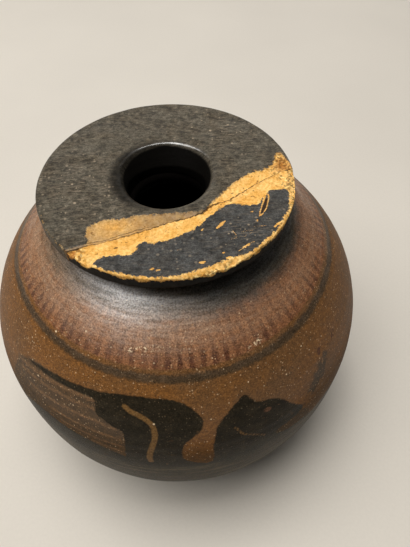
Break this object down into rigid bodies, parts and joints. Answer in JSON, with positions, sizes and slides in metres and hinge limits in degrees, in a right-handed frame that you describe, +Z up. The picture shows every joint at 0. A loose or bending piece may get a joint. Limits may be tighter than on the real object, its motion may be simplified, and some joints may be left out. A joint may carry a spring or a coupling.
{
  "type": "round oil flask",
  "caption": "Round-bodied earthenware oil flask with a flat disc mouth on a short neck, a mended break across the disc, and a strap handle at the back.",
  "frame": {"origin": "centre of the flat that the flask rests on, on the globe's axis", "axes": "+Z up along the globe's axis, -Y to the front where the mended side of the disc is, +Y to the back where the handle is"},
  "size_m": [0.116, 0.116, 0.1057],
  "materials": {
    "painted_clay": "burnished brown clay with dark painted bands and figures, satin",
    "dark_slip": "brushed dark slip, matt to satin, worn along its edges",
    "sherd_slip": "smooth dark slip, satin, with bare golden clay along its chips",
    "adhesive": "thin aged mending adhesive"
  },
  "bodies": {
    "root": {"globe": "painted_clay", "disc_mouth": "dark_slip", "rim_sherd": "sherd_slip", "mending_film": "adhesive", "neck_luting": "dark_slip", "strap_handle": "dark_slip", "handle_rim_luting": "dark_slip", "handle_foot_luting": "dark_slip"}
  },
  "joints": []
}
